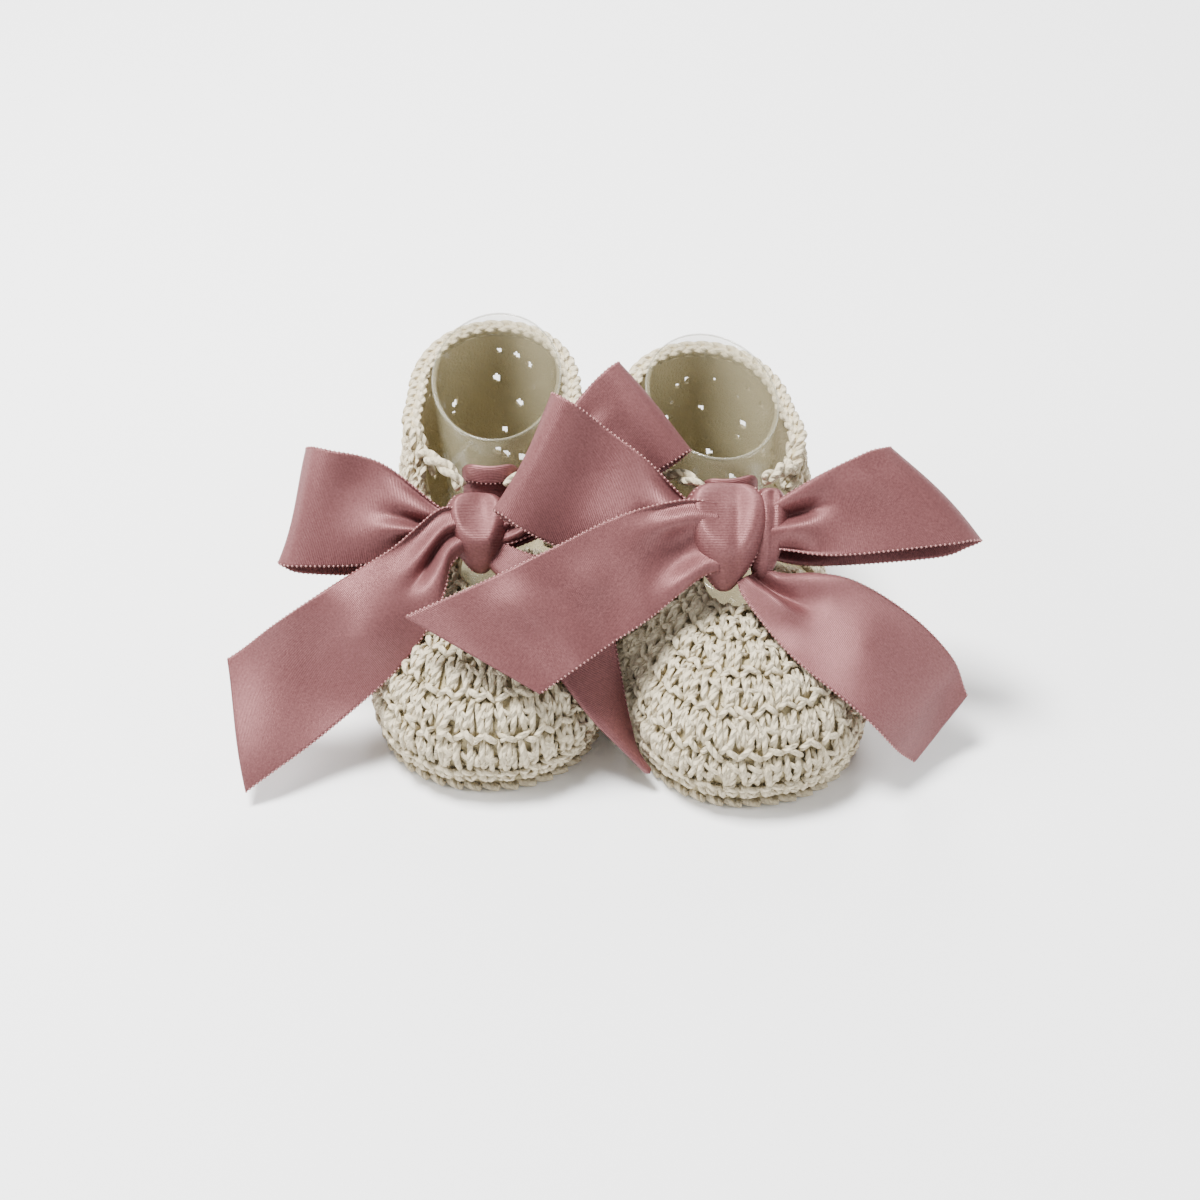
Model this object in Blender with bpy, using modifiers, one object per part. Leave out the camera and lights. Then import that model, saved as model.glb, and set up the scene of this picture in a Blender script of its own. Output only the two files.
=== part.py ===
"""A pair of crocheted baby booties on clear foot forms, each tied with a satin ribbon bow.

Metres, +Z up. The toes point to -Y, left and right are as seen from the toes, and the origin is on the
floor under the middle of the pair's box.
"""
from math import cos, radians, sin

import bmesh
import bpy
import numpy as np
from mathutils import Matrix, Vector

MM = 0.001

# Driving dimensions, in millimetres
TOE_END = -48.0
HEEL_END = 45.5
APEX_Y = -6.0
TOE_HALF_WIDTH = 23.6
TOE_WIDEST_Y = -20.0
HEEL_HALF_WIDTH = 19.8
HEEL_WIDEST_Y = 24.0
TOE_SQUARENESS = 2.3
BULGE_HEIGHT = 9.0
BOTTOM_LEAN = 18.0
VAMP_HEIGHT = 29.0
ANKLE_HEIGHT = 44.0
YARN_WALL = 3.0
SOLE_THICKNESS = 2.8
GAP = 0.3
SEAM_GAP = 1.0
SEAM_ANGLE = 66.0
HEEL_LEAN = 30.0
WALL_CURVE = 0.8
CLIMB_LENGTH = 16.0
COLLAR_NARROWING = 0.86
COLLAR_HEEL_RISE = 1.5
COLLAR_RADIUS = 1.6
COLLAR_SEAT = 2.4
COLLAR_INSET = 1.4
ANKLE_CENTRE_Y = 22.0
LACING_RADIUS = 1.5
OPENING_ANGLE = 81.0
FORM_WALL = 0.7
FORM_SHIFT = 0.6
RIBBON_THICKNESS = 0.7
BOW_TILT = 40.0
KNOT_TAPER = 0.72
# The rounding draws a cube's corners in, so its cage stands this much larger than the knot
KNOT_CAGE = 1.22
BAND_HALF_ANGLE = 22.0
BAND_CENTRE_Y = 23.5
# Half width, reach towards the toes, height
BAND_BOTTOM = (13.6, 30.0, 31.5)
BAND_TOP = (14.6, 24.4, 45.5)

# Where each bootie and its knot stand
LEFT = {"side": "left", "place": (-21.9, 1.0), "turn": 0.0, "length": 1.0, "knot": (-24.5, -10.0, 36.0)}
RIGHT = {"side": "right", "place": (25.0, -5.0), "turn": 9.0, "length": 0.965, "knot": (25.5, -16.0, 40.0)}

YARN = ("cotton_yarn", (0.78, 0.76, 0.62), 0.9)
SATIN = ("rose_satin", (0.48, 0.22, 0.22), 0.35)
CLEAR = ("clear_plastic", (0.75, 0.76, 0.68), 0.1)


def start_empty():
    for old in list(bpy.data.objects):
        bpy.data.objects.remove(old, do_unlink=True)
    parts = bpy.data.collections.new("baby_booties")
    cutters = bpy.data.collections.new("cutters")
    bpy.context.scene.collection.children.link(parts)
    bpy.context.scene.collection.children.link(cutters)
    return parts, cutters


def material(finish):
    name, colour, roughness = finish
    found = bpy.data.materials.get(name)
    if found:
        return found
    made = bpy.data.materials.new(name)
    made.use_nodes = True
    shader = made.node_tree.nodes["Principled BSDF"]
    shader.inputs["Base Color"].default_value = (*colour, 1)
    shader.inputs["Roughness"].default_value = roughness
    shader.inputs["Metallic"].default_value = 0.0
    return made


def add_object(name, mesh, finish, parent):
    mesh.materials.append(material(finish))
    mesh.shade_smooth()
    part = bpy.data.objects.new(name, mesh)
    PARTS.objects.link(part)
    part.parent = parent
    return part


def grid_mesh(name, grid, wrap=False):
    """An open surface over a grid of points in millimetres, wrapped round its second way if asked."""
    rows, columns = grid.shape[:2]
    points = grid.reshape(-1, 3) * MM
    last = columns if wrap else columns - 1
    faces = []
    for row in range(rows - 1):
        for column in range(last):
            after = (column + 1) % columns
            low, high = row * columns, (row + 1) * columns
            faces.append((low + column, low + after, high + after, high + column))
    mesh = bpy.data.meshes.new(name)
    mesh.from_pydata([tuple(point) for point in points], [], faces)
    return mesh


def thicken(part, thickness, offset):
    wall = part.modifiers.new("wall", "SOLIDIFY")
    wall.thickness = thickness * MM
    wall.offset = offset
    wall.use_even_offset = True
    return wall


def smooth_path(points, count):
    """Points at even steps along a curve that passes through every given point (Catmull-Rom)."""
    points = np.asarray(points, float)
    ends = np.concatenate([[2 * points[0] - points[1]], points, [2 * points[-1] - points[-2]]])
    step = np.linspace(0, len(points) - 1, count)
    left = np.minimum(step.astype(int), len(points) - 2)
    t = (step - left).reshape((-1,) + (1,) * (points.ndim - 1))
    a, b, c, d = ends[left], ends[left + 1], ends[left + 2], ends[left + 3]
    return 0.5 * (2 * b + (c - a) * t + (2 * a - 5 * b + 4 * c - d) * t**2 + (3 * b - a - 3 * c + d) * t**3)


def ease(value):
    value = np.clip(value, 0, 1)
    return value * value * (3 - 2 * value)


def outline(angle):
    """The bootie's plan at its widest height: angle 0 is the right side at the apex, 90 degrees the toe."""
    toe_length = APEX_Y - TOE_END
    heel_length = HEEL_END - APEX_Y
    y = APEX_Y - np.where(np.sin(angle) > 0, toe_length, heel_length) * np.sin(angle)
    toe_share = np.clip((y - TOE_WIDEST_Y) / (TOE_END - TOE_WIDEST_Y), 0, 1)
    toe = (1 - toe_share**TOE_SQUARENESS) ** (1 / TOE_SQUARENESS)
    heel = np.sqrt(np.clip(1 - ((y - HEEL_WIDEST_Y) / (HEEL_END - HEEL_WIDEST_Y)) ** 2, 0, 1))
    blend = ease((y - TOE_WIDEST_Y) / (HEEL_WIDEST_Y - TOE_WIDEST_Y))
    half = TOE_HALF_WIDTH + (HEEL_HALF_WIDTH - TOE_HALF_WIDTH) * blend
    half = np.where(y < TOE_WIDEST_Y, half * toe, np.where(y > HEEL_WIDEST_Y, half * heel, half))
    return np.where(np.cos(angle) >= 0, half, -half), y


def around(start, end, count):
    """Angles that give evenly spaced points along the outline between two angles in degrees."""
    fine = np.radians(np.linspace(start, end, 721))
    x, y = outline(fine)
    length = np.concatenate([[0], np.cumsum(np.hypot(np.diff(x), np.diff(y)))])
    return np.interp(np.linspace(0, length[-1], count), length, fine)


def wall_profile(lean):
    """How far a wall has drawn in (0 to 1 of the plan) and risen, for leans below and above the bulge."""
    low = np.radians(np.clip(-lean, 0, 90))
    high = np.radians(np.clip(lean, 0, 90))
    shrink = np.where(lean < 0, np.cos(low), np.cos(high) ** WALL_CURVE)
    bottom = SOLE_THICKNESS + GAP
    fall = (BULGE_HEIGHT - bottom) * np.sin(low) / sin(radians(BOTTOM_LEAN))
    return shrink, BULGE_HEIGHT - fall + (VAMP_HEIGHT - BULGE_HEIGHT) * np.sin(high)


def toe_cap(side, parent):
    """A quarter dome from one side seam round the toe to the other, with the instep left open."""
    x, y = outline(around(0, 180, 25))
    lean = np.concatenate([[-BOTTOM_LEAN, -BOTTOM_LEAN / 2], np.linspace(0, OPENING_ANGLE, 8)])
    shrink, height = wall_profile(lean[:, None])
    grid = np.stack([x * shrink, APEX_Y + (y - APEX_Y) * shrink, height + 0 * x], axis=-1)
    grid[..., 1] -= SEAM_GAP / 2
    part = add_object(f"{side}_toe_cap", grid_mesh("toe_cap", grid), YARN, parent)
    thicken(part, YARN_WALL, 1)
    return part


def collar_point(angle):
    """The top edge of the heel quarter: it climbs from the instep seam to the ankle and runs round it."""
    x, y = outline(angle)
    climb = ease((y - APEX_Y) / CLIMB_LENGTH)
    seam = cos(radians(SEAM_ANGLE)) ** WALL_CURVE
    narrow = seam + (COLLAR_NARROWING - seam) * ease((y - APEX_Y) / 20)
    seam_height = BULGE_HEIGHT + (VAMP_HEIGHT - BULGE_HEIGHT) * sin(radians(SEAM_ANGLE))
    back = ease((y - HEEL_WIDEST_Y) / (HEEL_END - HEEL_WIDEST_Y))
    rise = seam_height + (ANKLE_HEIGHT - seam_height) * climb + COLLAR_HEEL_RISE * back
    return x * narrow, y - 0.5 * back, rise


def heel_quarter(side, parent):
    """The wall from one instep seam back round the heel to the other, up to the collar."""
    angle = around(180, 360, 33)
    x, y = outline(angle)
    top_x, top_y, top_z = collar_point(angle)
    lean_end = SEAM_ANGLE + (HEEL_LEAN - SEAM_ANGLE) * ease((y - APEX_Y) / ANKLE_CENTRE_Y)
    rows = []
    for lean in (-BOTTOM_LEAN, -BOTTOM_LEAN / 2):
        shrink, height = wall_profile(np.full_like(x, lean))
        middle = APEX_Y + (y - APEX_Y) * shrink
        rows.append(np.stack([x * shrink, middle, height], axis=-1))
    for share in np.linspace(0, 1, 7):
        lean = np.radians(lean_end * share)
        across = (1 - np.cos(lean) ** WALL_CURVE) / (1 - np.cos(np.radians(lean_end)) ** WALL_CURVE)
        up = np.sin(lean) / np.sin(np.radians(lean_end))
        height = BULGE_HEIGHT + (top_z - BULGE_HEIGHT) * up
        rows.append(np.stack([x + (top_x - x) * across, y + (top_y - y) * across, height], axis=-1))
    grid = np.array(rows) + np.array([0, SEAM_GAP / 2, 0])
    part = add_object(f"{side}_heel_quarter", grid_mesh("heel_quarter", grid), YARN, parent)
    thicken(part, YARN_WALL, 1)
    return part


def sole(side, parent):
    """A flat oval plate with a rounded edge, as a filled outline."""
    angle = around(0, 360, 49)[:-1]
    x, y = outline(angle)
    rings = [(0.925, 0.0), (0.955, 0.9), (0.955, 2.0), (0.93, SOLE_THICKNESS)]
    grid = np.array([np.stack([x * s, y * s, np.full_like(x, z)], axis=-1) for s, z in rings])
    mesh = grid_mesh("sole", grid, wrap=True)
    solid = bmesh.new()
    solid.from_mesh(mesh)
    bmesh.ops.holes_fill(solid, edges=solid.edges, sides=0)
    bmesh.ops.recalc_face_normals(solid, faces=solid.faces)
    solid.to_mesh(mesh)
    solid.free()
    return add_object(f"{side}_sole", mesh, YARN, parent)


def rope(name, path, radius, finish, parent):
    """A round cord with filled caps along a smooth path in millimetres."""
    curve = bpy.data.curves.new(name, "CURVE")
    curve.dimensions = "3D"
    curve.bevel_depth = radius * MM
    curve.bevel_resolution = 2
    curve.use_fill_caps = True
    spline = curve.splines.new("POLY")
    spline.points.add(len(path) - 1)
    for point, place in zip(spline.points, path):
        point.co = (*(Vector(place) * MM), 1)
    made = bpy.data.objects.new(name, curve)
    PARTS.objects.link(made)
    made.parent = parent
    made.data.materials.append(material(finish))
    return made


def collar_edging(side, parent):
    """The thick edge that sits on the quarter's top, from one lacing loop round to the other."""
    x, y, z = collar_point(around(192, 348, 34))
    inward = 1 - COLLAR_INSET / np.hypot(x, y - ANKLE_CENTRE_Y)
    middle = ANKLE_CENTRE_Y + (y - ANKLE_CENTRE_Y) * inward
    path = np.stack([x * inward, middle, z + COLLAR_SEAT], axis=-1)
    return rope(f"{side}_collar_edging", path, COLLAR_RADIUS, YARN, parent)


def lacing_loop(side, which, points, parent):
    """A short loop of yarn from the collar's front corner to the top of the knot, in the bow's axes."""
    return rope(f"{side}_{which}", smooth_path(points, 9), LACING_RADIUS, YARN, parent)


def foot_form(side, parent):
    """A thin cup the shape of a foot, from a flat base up to the round rim of the ankle."""
    # front y, back y, half width, front height, back height, how much wider the toe half is
    rings = [
        (-38.0, 37.0, 15.6, 3.8, 3.8, 0.09),
        (-41.6, 39.6, 17.0, 7.0, 7.0, 0.09),
        (-42.4, 40.4, 17.4, 11.0, 11.5, 0.09),
        (-38.5, 40.4, 16.2, 15.6, 16.4, 0.07),
        (-29.5, 40.2, 13.0, 19.6, 21.0, 0.04),
        (-17.0, 40.0, 10.4, 22.2, 26.0, 0.0),
        (-8.0, 40.0, 10.0, 23.2, 32.0, 0.0),
        (-4.6, 40.2, 11.2, 30.0, 39.5, 0.0),
        (-1.0, 40.6, 12.4, 40.0, 46.0, 0.0),
        (2.0, 41.5, 13.0, 49.0, 52.5, 0.0),
    ]
    turn = np.linspace(0, 2 * np.pi, 29)[:-1]
    grid = []
    for front, back, half, low, high, egg in smooth_path(rings, 16):
        middle, reach = (front + back) / 2, (back - front) / 2
        toe = np.cos(turn)
        x = half * np.sin(turn) * (1 + egg * toe) + FORM_SHIFT
        grid.append(np.stack([x, middle - reach * toe, (low + high) / 2 + (low - high) / 2 * toe], axis=-1))
    mesh = grid_mesh("foot_form", np.array(grid), wrap=True)
    cup = bmesh.new()
    cup.from_mesh(mesh)
    base = [edge for edge in cup.edges if edge.is_boundary and edge.verts[0].co.z < 5 * MM]
    bmesh.ops.contextual_create(cup, geom=base)
    bmesh.ops.recalc_face_normals(cup, faces=cup.faces)
    cup.to_mesh(mesh)
    cup.free()
    part = add_object(f"{side}_foot_form", mesh, CLEAR, parent)
    thicken(part, FORM_WALL, -1)
    return part


def ribbon_band(side, parent):
    """The stretch of ribbon that crosses the front of the ankle, held between the lacing loops."""
    turn = np.radians(np.linspace(-BAND_HALF_ANGLE, BAND_HALF_ANGLE, 13))
    edges = []
    for width, reach, height in (BAND_BOTTOM, BAND_TOP):
        y = BAND_CENTRE_Y - reach * np.cos(turn)
        edges.append(np.stack([width * np.sin(turn), y, np.full_like(turn, height)], axis=-1))
    grid = edges[0] + (edges[1] - edges[0]) * np.linspace(0, 1, 4)[:, None, None]
    part = add_object(f"{side}_ribbon_band", grid_mesh("ribbon_band", grid), SATIN, parent)
    thicken(part, RIBBON_THICKNESS, 1)
    return part


def strip(name, stations, count, parent):
    """A ribbon through stations of (upper edge point, lower edge point) in the bow's own axes."""
    edges = smooth_path(stations, count)
    share = np.linspace(0, 1, 5)[None, :, None]
    grid = edges[:, :1] + (edges[:, 1:] - edges[:, :1]) * share
    part = add_object(name, grid_mesh(name, grid), SATIN, parent)
    thicken(part, RIBBON_THICKNESS, 0)
    return part


def knot(name, half_width, half_height, half_depth, parent):
    """A plump knot, narrower at the bottom, from a rounded cube."""
    bpy.ops.mesh.primitive_cube_add(size=2)
    part = bpy.context.object
    for collection in list(part.users_collection):
        collection.objects.unlink(part)
    PARTS.objects.link(part)
    part.name = name
    part.parent = parent
    for vertex in part.data.vertices:
        taper = KNOT_TAPER if vertex.co.y < 0 else 1.0
        shape = (half_width * taper, half_height, half_depth)
        vertex.co = Vector([c * s * MM * KNOT_CAGE for c, s in zip(vertex.co, shape)])
    part.data.materials.append(material(SATIN))
    part.data.shade_smooth()
    rounding = part.modifiers.new("rounding", "SUBSURF")
    rounding.levels = 3
    rounding.render_levels = 3
    return part


# Each ribbon's stations are (upper edge, lower edge), in millimetres from its knot's middle: right, up the
# bow's tilted plane, and out towards the toes.
LEFT_BOW = {
    "bow_loop_left": [
        ((-7, 4.5, 1.5), (-7, -2.5, 1.5)),
        ((-18, 13.5, 3), (-20, -6, 3)),
        ((-28.5, 16, 3.5), (-34.5, -6.5, 3)),
        ((-32.5, 16, 0), (-39.5, -5.5, 0)),
        ((-28, 14.5, -3.5), (-34.5, -8, -3.5)),
        ((-17.5, 10.5, -4.5), (-20, -8, -4.5)),
        ((-7, 3.5, -1.5), (-7, -4, -1.5)),
    ],
    "bow_loop_right": [
        ((6.5, 4, 2.5), (7, -2, 2)),
        ((14, 18, 4), (18, 3, 3.5)),
        ((21.5, 28, 5), (34, 11, 6)),
        ((27, 32.5, 4), (42, 16, 5)),
        ((22, 26.5, 1.5), (35, 10.5, 3)),
        ((13.5, 16, 1), (20.5, 3, 1)),
        ((6.5, 3, 0), (7, -3, -0.5)),
    ],
    "ribbon_tail_left": [
        ((-7, 4.5, 4.5), (-5.5, -6.5, 5)),
        ((-16, -3, 6.5), (-7, -15, 7)),
        ((-27, -10, 7), (-14, -25.5, 8)),
        ((-37.5, -17, 6), (-28, -38, 7)),
        ((-49, -24.5, 3.5), (-43.5, -50, 6.5)),
    ],
    "ribbon_tail_right": [
        ((9, -3.5, 2), (4.5, -8.5, 3)),
        ((18, -7, 3.5), (8.5, -14.5, 6.5)),
        ((25.5, -15, 3.5), (13.5, -22.5, 10)),
        ((28, -25.5, 4), (18, -29, 10.5)),
        ((29.5, -33.5, 4), (25, -37.5, 9.5)),
        ((31.5, -42.5, 2), (34.5, -46, 6)),
    ],
}
RIGHT_BOW = {
    "bow_loop_left": [
        ((-9.5, 6, 2), (-10, -1.5, 2)),
        ((-17, 14.5, 3.5), (-20, -3.5, 1.5)),
        ((-26, 21.5, 5), (-35.5, -1, 3.5)),
        ((-34, 26, 3.5), (-46, 5, 3.5)),
        ((-27.5, 21, 1.5), (-36, 0, 1)),
        ((-17, 13.5, 0.5), (-20.5, -3, -1)),
        ((-9.5, 5, -1), (-10, -2.5, -1)),
    ],
    "bow_loop_right": [
        ((10, 7.5, 1.5), (10, -2.5, 2)),
        ((18.5, 13, 3.5), (20, -3.5, 3.5)),
        ((26.5, 16.5, 3.5), (40.5, -1.5, 3)),
        ((30, 17.5, 0), (47, -1, 0)),
        ((26.5, 15, -3.5), (41, -4, -3)),
        ((17.5, 9.5, -4), (21, -5.5, -3.5)),
        ((10, 5.5, -2), (10.5, -5, -1)),
    ],
    "ribbon_tail_left": [
        ((-10, 6.5, 5), (-8, -7.5, 5)),
        ((-22, 4, 6.5), (-15, -14.5, 6.5)),
        ((-35.5, -2.5, 8), (-24, -20.5, 8)),
        ((-49, -9, 9), (-30.5, -25, 9.5)),
        ((-62.5, -15, 9), (-37, -29.5, 10)),
    ],
    "ribbon_tail_right": [
        ((11.5, -8, -0.5), (3, -13, 3)),
        ((23, -8.5, -1), (11.5, -23, 6)),
        ((35, -15, -2), (23, -33.5, 5.5)),
        ((43, -23.5, -4.5), (30, -40, 2)),
        ((46, -31, -7), (36, -44, -3.5)),
    ],
}
LEFT_LACING = {
    "lacing_loop_left": [(-10.5, 15.5, -7), (-8, 14, -3.5), (-5, 12, -1), (-3, 9.5, -0.5)],
    "lacing_loop_right": [(16, 15.5, -6.5), (13.5, 14.5, -4), (11.5, 13.5, -2.5), (10, 12, -2)],
}
RIGHT_LACING = {
    "lacing_loop_left": [(-14, 11, -7.5), (-11.5, 12, -5), (-8.5, 11.5, -2), (-6.5, 10.5, -0.5)],
    "lacing_loop_right": [(11.5, 14.5, -10.5), (10.5, 14, -7), (9, 13, -4.5), (7.5, 12, -3.5)],
}
LEFT_KNOT = (6.0, 7.0, 4.5)
RIGHT_KNOT = (9.0, 10.0, 5.5)
# Puts the origin under the middle of the pair's box
CENTRE = (0.4, 2.34)


def bootie(spec, bow, lacing, knot_size, root):
    side = spec["side"]
    base = bpy.data.objects.new(f"{side}_bootie", None)
    PARTS.objects.link(base)
    base.parent = root
    base.location = Vector((*spec["place"], 0)) * MM
    base.rotation_euler = (0, 0, radians(spec["turn"]))
    base.scale = (1, spec["length"], 1)
    sole(side, base)
    toe_cap(side, base)
    heel_quarter(side, base)
    collar_edging(side, base)
    foot_form(side, base)
    ribbon_band(side, base)
    bow_frame = bpy.data.objects.new(f"{side}_bow", None)
    PARTS.objects.link(bow_frame)
    bow_frame.parent = root
    bow_frame.location = Vector(spec["knot"]) * MM
    bow_frame.rotation_euler = (radians(90 - BOW_TILT), 0, 0)
    for piece, points in lacing.items():
        lacing_loop(side, piece, points, bow_frame)
    knot(f"{side}_bow_knot", *knot_size, bow_frame)
    for piece, stations in bow.items():
        strip(f"{side}_{piece}", stations, 21 if "loop" in piece else 15, bow_frame)


PARTS, CUTTERS = start_empty()
ROOT = bpy.data.objects.new("pair", None)
PARTS.objects.link(ROOT)
ROOT.location = Vector((*CENTRE, 0)) * MM
bootie(LEFT, LEFT_BOW, LEFT_LACING, LEFT_KNOT, ROOT)
bootie(RIGHT, RIGHT_BOW, RIGHT_LACING, RIGHT_KNOT, ROOT)
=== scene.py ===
"""How the pair of crocheted baby booties looks: cotton stitches, clear foot forms and rose satin bows."""

import bpy
import numpy as np
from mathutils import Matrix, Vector


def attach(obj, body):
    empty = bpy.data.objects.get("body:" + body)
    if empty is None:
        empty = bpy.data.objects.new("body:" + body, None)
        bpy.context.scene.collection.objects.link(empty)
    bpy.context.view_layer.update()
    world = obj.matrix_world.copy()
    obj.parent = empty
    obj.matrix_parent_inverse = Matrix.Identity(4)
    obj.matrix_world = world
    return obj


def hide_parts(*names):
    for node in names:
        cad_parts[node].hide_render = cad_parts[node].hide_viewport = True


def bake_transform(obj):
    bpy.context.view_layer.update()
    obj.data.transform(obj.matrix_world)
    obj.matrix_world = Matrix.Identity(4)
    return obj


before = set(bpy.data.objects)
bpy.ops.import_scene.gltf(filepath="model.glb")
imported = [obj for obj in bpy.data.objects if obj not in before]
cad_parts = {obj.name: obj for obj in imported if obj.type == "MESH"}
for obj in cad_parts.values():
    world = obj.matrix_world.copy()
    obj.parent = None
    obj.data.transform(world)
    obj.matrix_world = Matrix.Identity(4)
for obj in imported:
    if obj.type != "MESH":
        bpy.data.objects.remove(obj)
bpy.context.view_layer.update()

# Soles: flat ovals of tight crochet, 94 mm long, 47 mm wide at the toes and 40 mm at the heel.
# Rounds of slanted stitches run inward from the edge under a plain plate of darker ivory cotton: painted
# shade seen between the stitches.
MM = 0.001
CENTRE = (0.4, 2.34)
BOOTIES = {
    "left": {"place": (-21.9, 1.0), "turn": 0.0, "length": 1.0},
    "right": {"place": (25.0, -5.0), "turn": 9.0, "length": 0.965},
}
APEX_Y, TOE_END, HEEL_END = -6.0, -48.0, 45.5
rng = np.random.default_rng(7)


def ease(value):
    """0 below 0, 1 above 1, and three times the square less twice the cube between."""
    value = np.clip(value, 0, 1)
    return value * value * (3 - 2 * value)


def outline(angle):
    """The plan at its widest: 0 is the right side at the instep, a quarter turn the toe tip."""
    y = APEX_Y - np.where(np.sin(angle) > 0, APEX_Y - TOE_END, HEEL_END - APEX_Y) * np.sin(angle)
    toe = (1 - np.clip((y + 20) / (TOE_END + 20), 0, 1) ** 2.3) ** (1 / 2.3)
    heel = np.sqrt(np.clip(1 - ((y - 24) / (HEEL_END - 24)) ** 2, 0, 1))
    half = 23.6 - 3.8 * ease((y + 20) / 44)
    half = np.where(y < -20, half * toe, np.where(y > 24, half * heel, half))
    return np.where(np.cos(angle) >= 0, half, -half), y


def angle_at(share, start, end):
    """The angle at a share of the way along the outline, from one angle to another, in degrees."""
    fine = np.radians(np.linspace(start, end, 1441))
    x, y = outline(fine)
    length = np.concatenate([[0], np.cumsum(np.hypot(np.diff(x), np.diff(y)))])
    return np.interp(np.asarray(share) * length[-1], length, fine)


def stand(side, points):
    """Points in a bootie's own millimetres, turned and moved to where it stands, in metres."""
    spec = BOOTIES[side]
    turn = np.radians(spec["turn"])
    x, y = points[..., 0], points[..., 1] * spec["length"]
    east = x * np.cos(turn) - y * np.sin(turn) + spec["place"][0] + CENTRE[0]
    north = x * np.sin(turn) + y * np.cos(turn) + spec["place"][1] + CENTRE[1]
    return np.stack([east, north, points[..., 2]], axis=-1) * MM


def mesh_object(name, points, faces, uv, material, extra=None):
    """A mesh from points and a list of face arrays, each with corners of its own shape, and their UVs."""
    mesh = bpy.data.meshes.new(name)
    sizes = np.concatenate([np.full(len(face), face.shape[1]) for face in faces])
    corners = np.concatenate([face.ravel() for face in faces])
    mesh.vertices.add(len(points))
    mesh.vertices.foreach_set("co", points.astype(np.float32).ravel())
    mesh.loops.add(len(corners))
    mesh.loops.foreach_set("vertex_index", corners.astype(np.int32))
    mesh.polygons.add(len(sizes))
    starts = np.concatenate([[0], np.cumsum(sizes)[:-1]])
    mesh.polygons.foreach_set("loop_start", starts.astype(np.int32))
    layer = mesh.uv_layers.new(name="UVMap")
    flat = np.concatenate([part.reshape(-1, 2) for part in uv])
    layer.data.foreach_set("uv", flat.astype(np.float32).ravel())
    for key, values in (extra or {}).items():
        attribute = mesh.attributes.new(key, "FLOAT", "POINT")
        attribute.data.foreach_set("value", values.astype(np.float32).ravel())
    mesh.update(calc_edges=True)
    mesh.validate()
    mesh.shade_smooth()
    mesh.materials.append(material)
    made = bpy.data.objects.new(name, mesh)
    bpy.context.scene.collection.objects.link(made)
    return made


def strands(name, path, radius, depth, material, sides=6):
    """Tubes along many short paths (strand, step, xyz), in metres, each closed with a face at both ends.

    At every step a ring stands round the path, square to it; rings are smaller towards the ends.
    """
    count, steps = path.shape[:2]
    along = np.gradient(path, axis=1)
    along /= np.linalg.norm(along, axis=-1, keepdims=True)
    least = np.argmin(np.abs(along.mean(axis=1)), axis=-1)
    helper = np.eye(3)[least][:, None]
    across = np.cross(along, helper)
    across /= np.linalg.norm(across, axis=-1, keepdims=True)
    up = np.cross(across, along)
    turn = np.linspace(0, 2 * np.pi, sides + 1)[:-1]
    # strands are a bit thinner at their ends
    taper = 0.6 + 0.4 * np.sin(np.pi * np.linspace(0.06, 0.94, steps)) ** 0.6
    reach = (np.broadcast_to(radius, (count,))[:, None] * taper)[..., None, None]
    ring = np.cos(turn)[:, None] * across[:, :, None] + np.sin(turn)[:, None] * up[:, :, None]
    points = path[:, :, None] + reach * ring
    first = np.arange(count * steps).reshape(count, steps, 1) * sides
    here = first + np.arange(sides)
    after = first + (np.arange(sides) + 1) % sides
    quads = np.stack([here[:, :-1], here[:, 1:], after[:, 1:], after[:, :-1]], axis=-1).reshape(-1, 4)
    caps = np.concatenate([here[:, 0], here[:, -1, ::-1]])
    pieces = np.linalg.norm(np.diff(path, axis=1), axis=-1)
    run = np.concatenate([np.zeros((count, 1)), np.cumsum(pieces, axis=1)], axis=1)
    run = run[..., None] / MM + np.zeros(sides)
    part = np.arange(sides) / sides + 0 * run
    low = np.stack([part[:, :-1], run[:, :-1]], axis=-1)
    high = np.stack([part[:, 1:], run[:, 1:]], axis=-1)
    step = np.array([1 / sides, 0])
    uv = np.stack([low, high, high + step, low + step], axis=-2)
    cap_uv = np.zeros((len(caps), sides, 2))
    # The depth attribute is painted shade: where it is high, the yarn material darkens towards its shadow
    # colour.
    shade = np.broadcast_to(depth[..., None], (count, steps, sides))
    return mesh_object(name, points.reshape(-1, 3), [quads, caps], [uv, cap_uv], material, {"depth": shade})


def surface(name, grid, material, wrap=False, keep=None):
    """A sheet of faces over a grid of points in metres; UV is in millimetres along and across it."""
    rows, columns = grid.shape[:2]
    closed = np.concatenate([grid, grid[:, :1]], axis=1) if wrap else grid
    across = np.linalg.norm(np.diff(closed, axis=1), axis=-1).mean(axis=0)
    down = np.linalg.norm(np.diff(grid, axis=0), axis=-1).mean(axis=1)
    u = np.concatenate([[0], np.cumsum(across)])[None] / MM + np.zeros((rows, 1))
    v = np.concatenate([[0], np.cumsum(down)])[:, None] / MM + np.zeros(u.shape)
    flat = np.stack([u, v], axis=-1)
    index = np.arange(rows * columns).reshape(rows, columns)
    index = np.concatenate([index, index[:, :1]], axis=1) if wrap else index
    quads = np.stack([index[:-1, :-1], index[:-1, 1:], index[1:, 1:], index[1:, :-1]], axis=-1)
    uv = np.stack([flat[:-1, :-1], flat[:-1, 1:], flat[1:, 1:], flat[1:, :-1]], axis=-2)
    if keep is not None:
        quads, uv = quads[keep], uv[keep]
    return mesh_object(name, grid.reshape(-1, 3), [quads.reshape(-1, 4)], [uv], material)


def thicken(obj, thickness, offset):
    """A wall of a thickness in millimetres: offset 1 is outside the sheet, 0 both sides and -1 inside."""
    wall = obj.modifiers.new("wall", "SOLIDIFY")
    wall.thickness = thickness * MM
    wall.offset = offset
    return obj


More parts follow.
